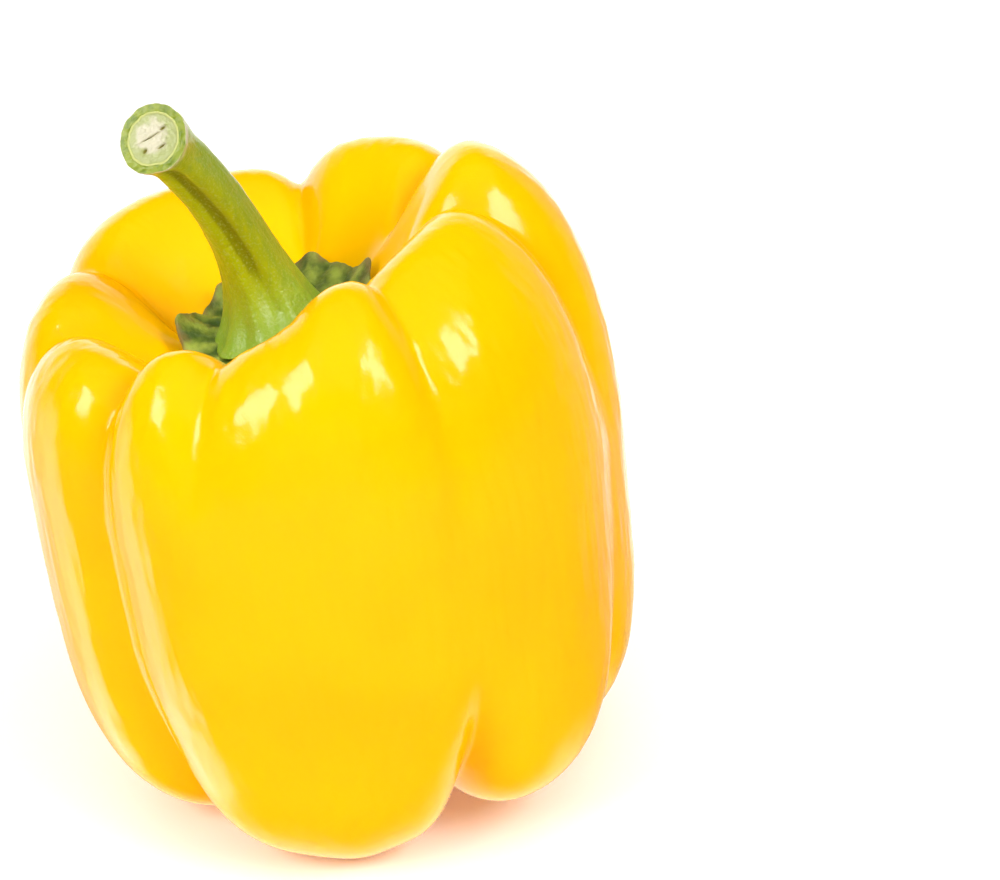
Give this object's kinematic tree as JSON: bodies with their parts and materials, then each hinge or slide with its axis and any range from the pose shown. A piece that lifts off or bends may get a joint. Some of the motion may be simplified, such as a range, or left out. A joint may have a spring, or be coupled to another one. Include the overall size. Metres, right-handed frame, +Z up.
{
  "type": "bell pepper",
  "caption": "Blocky yellow bell pepper standing on its lobed feet, with a pointed green calyx in the crown's hollow and a bent, ridged stem with a cut end.",
  "frame": {"origin": "middle of the box round the pepper, on the plane that its feet stand on", "axes": "+Z up towards the crown and the stem, -Y towards the front lobe that faces the viewer of the picture, +X towards its right-hand lobes"},
  "size_m": [0.0902, 0.087, 0.1102],
  "materials": {
    "skin": "glossy waxy yellow skin",
    "calyx": "dull dark green leaf with browned edges",
    "stem": "satin yellow-green stalk with a pale cut face"
  },
  "bodies": {
    "root": {"fruit": "skin", "calyx": "calyx", "stem": "stem"}
  },
  "joints": []
}
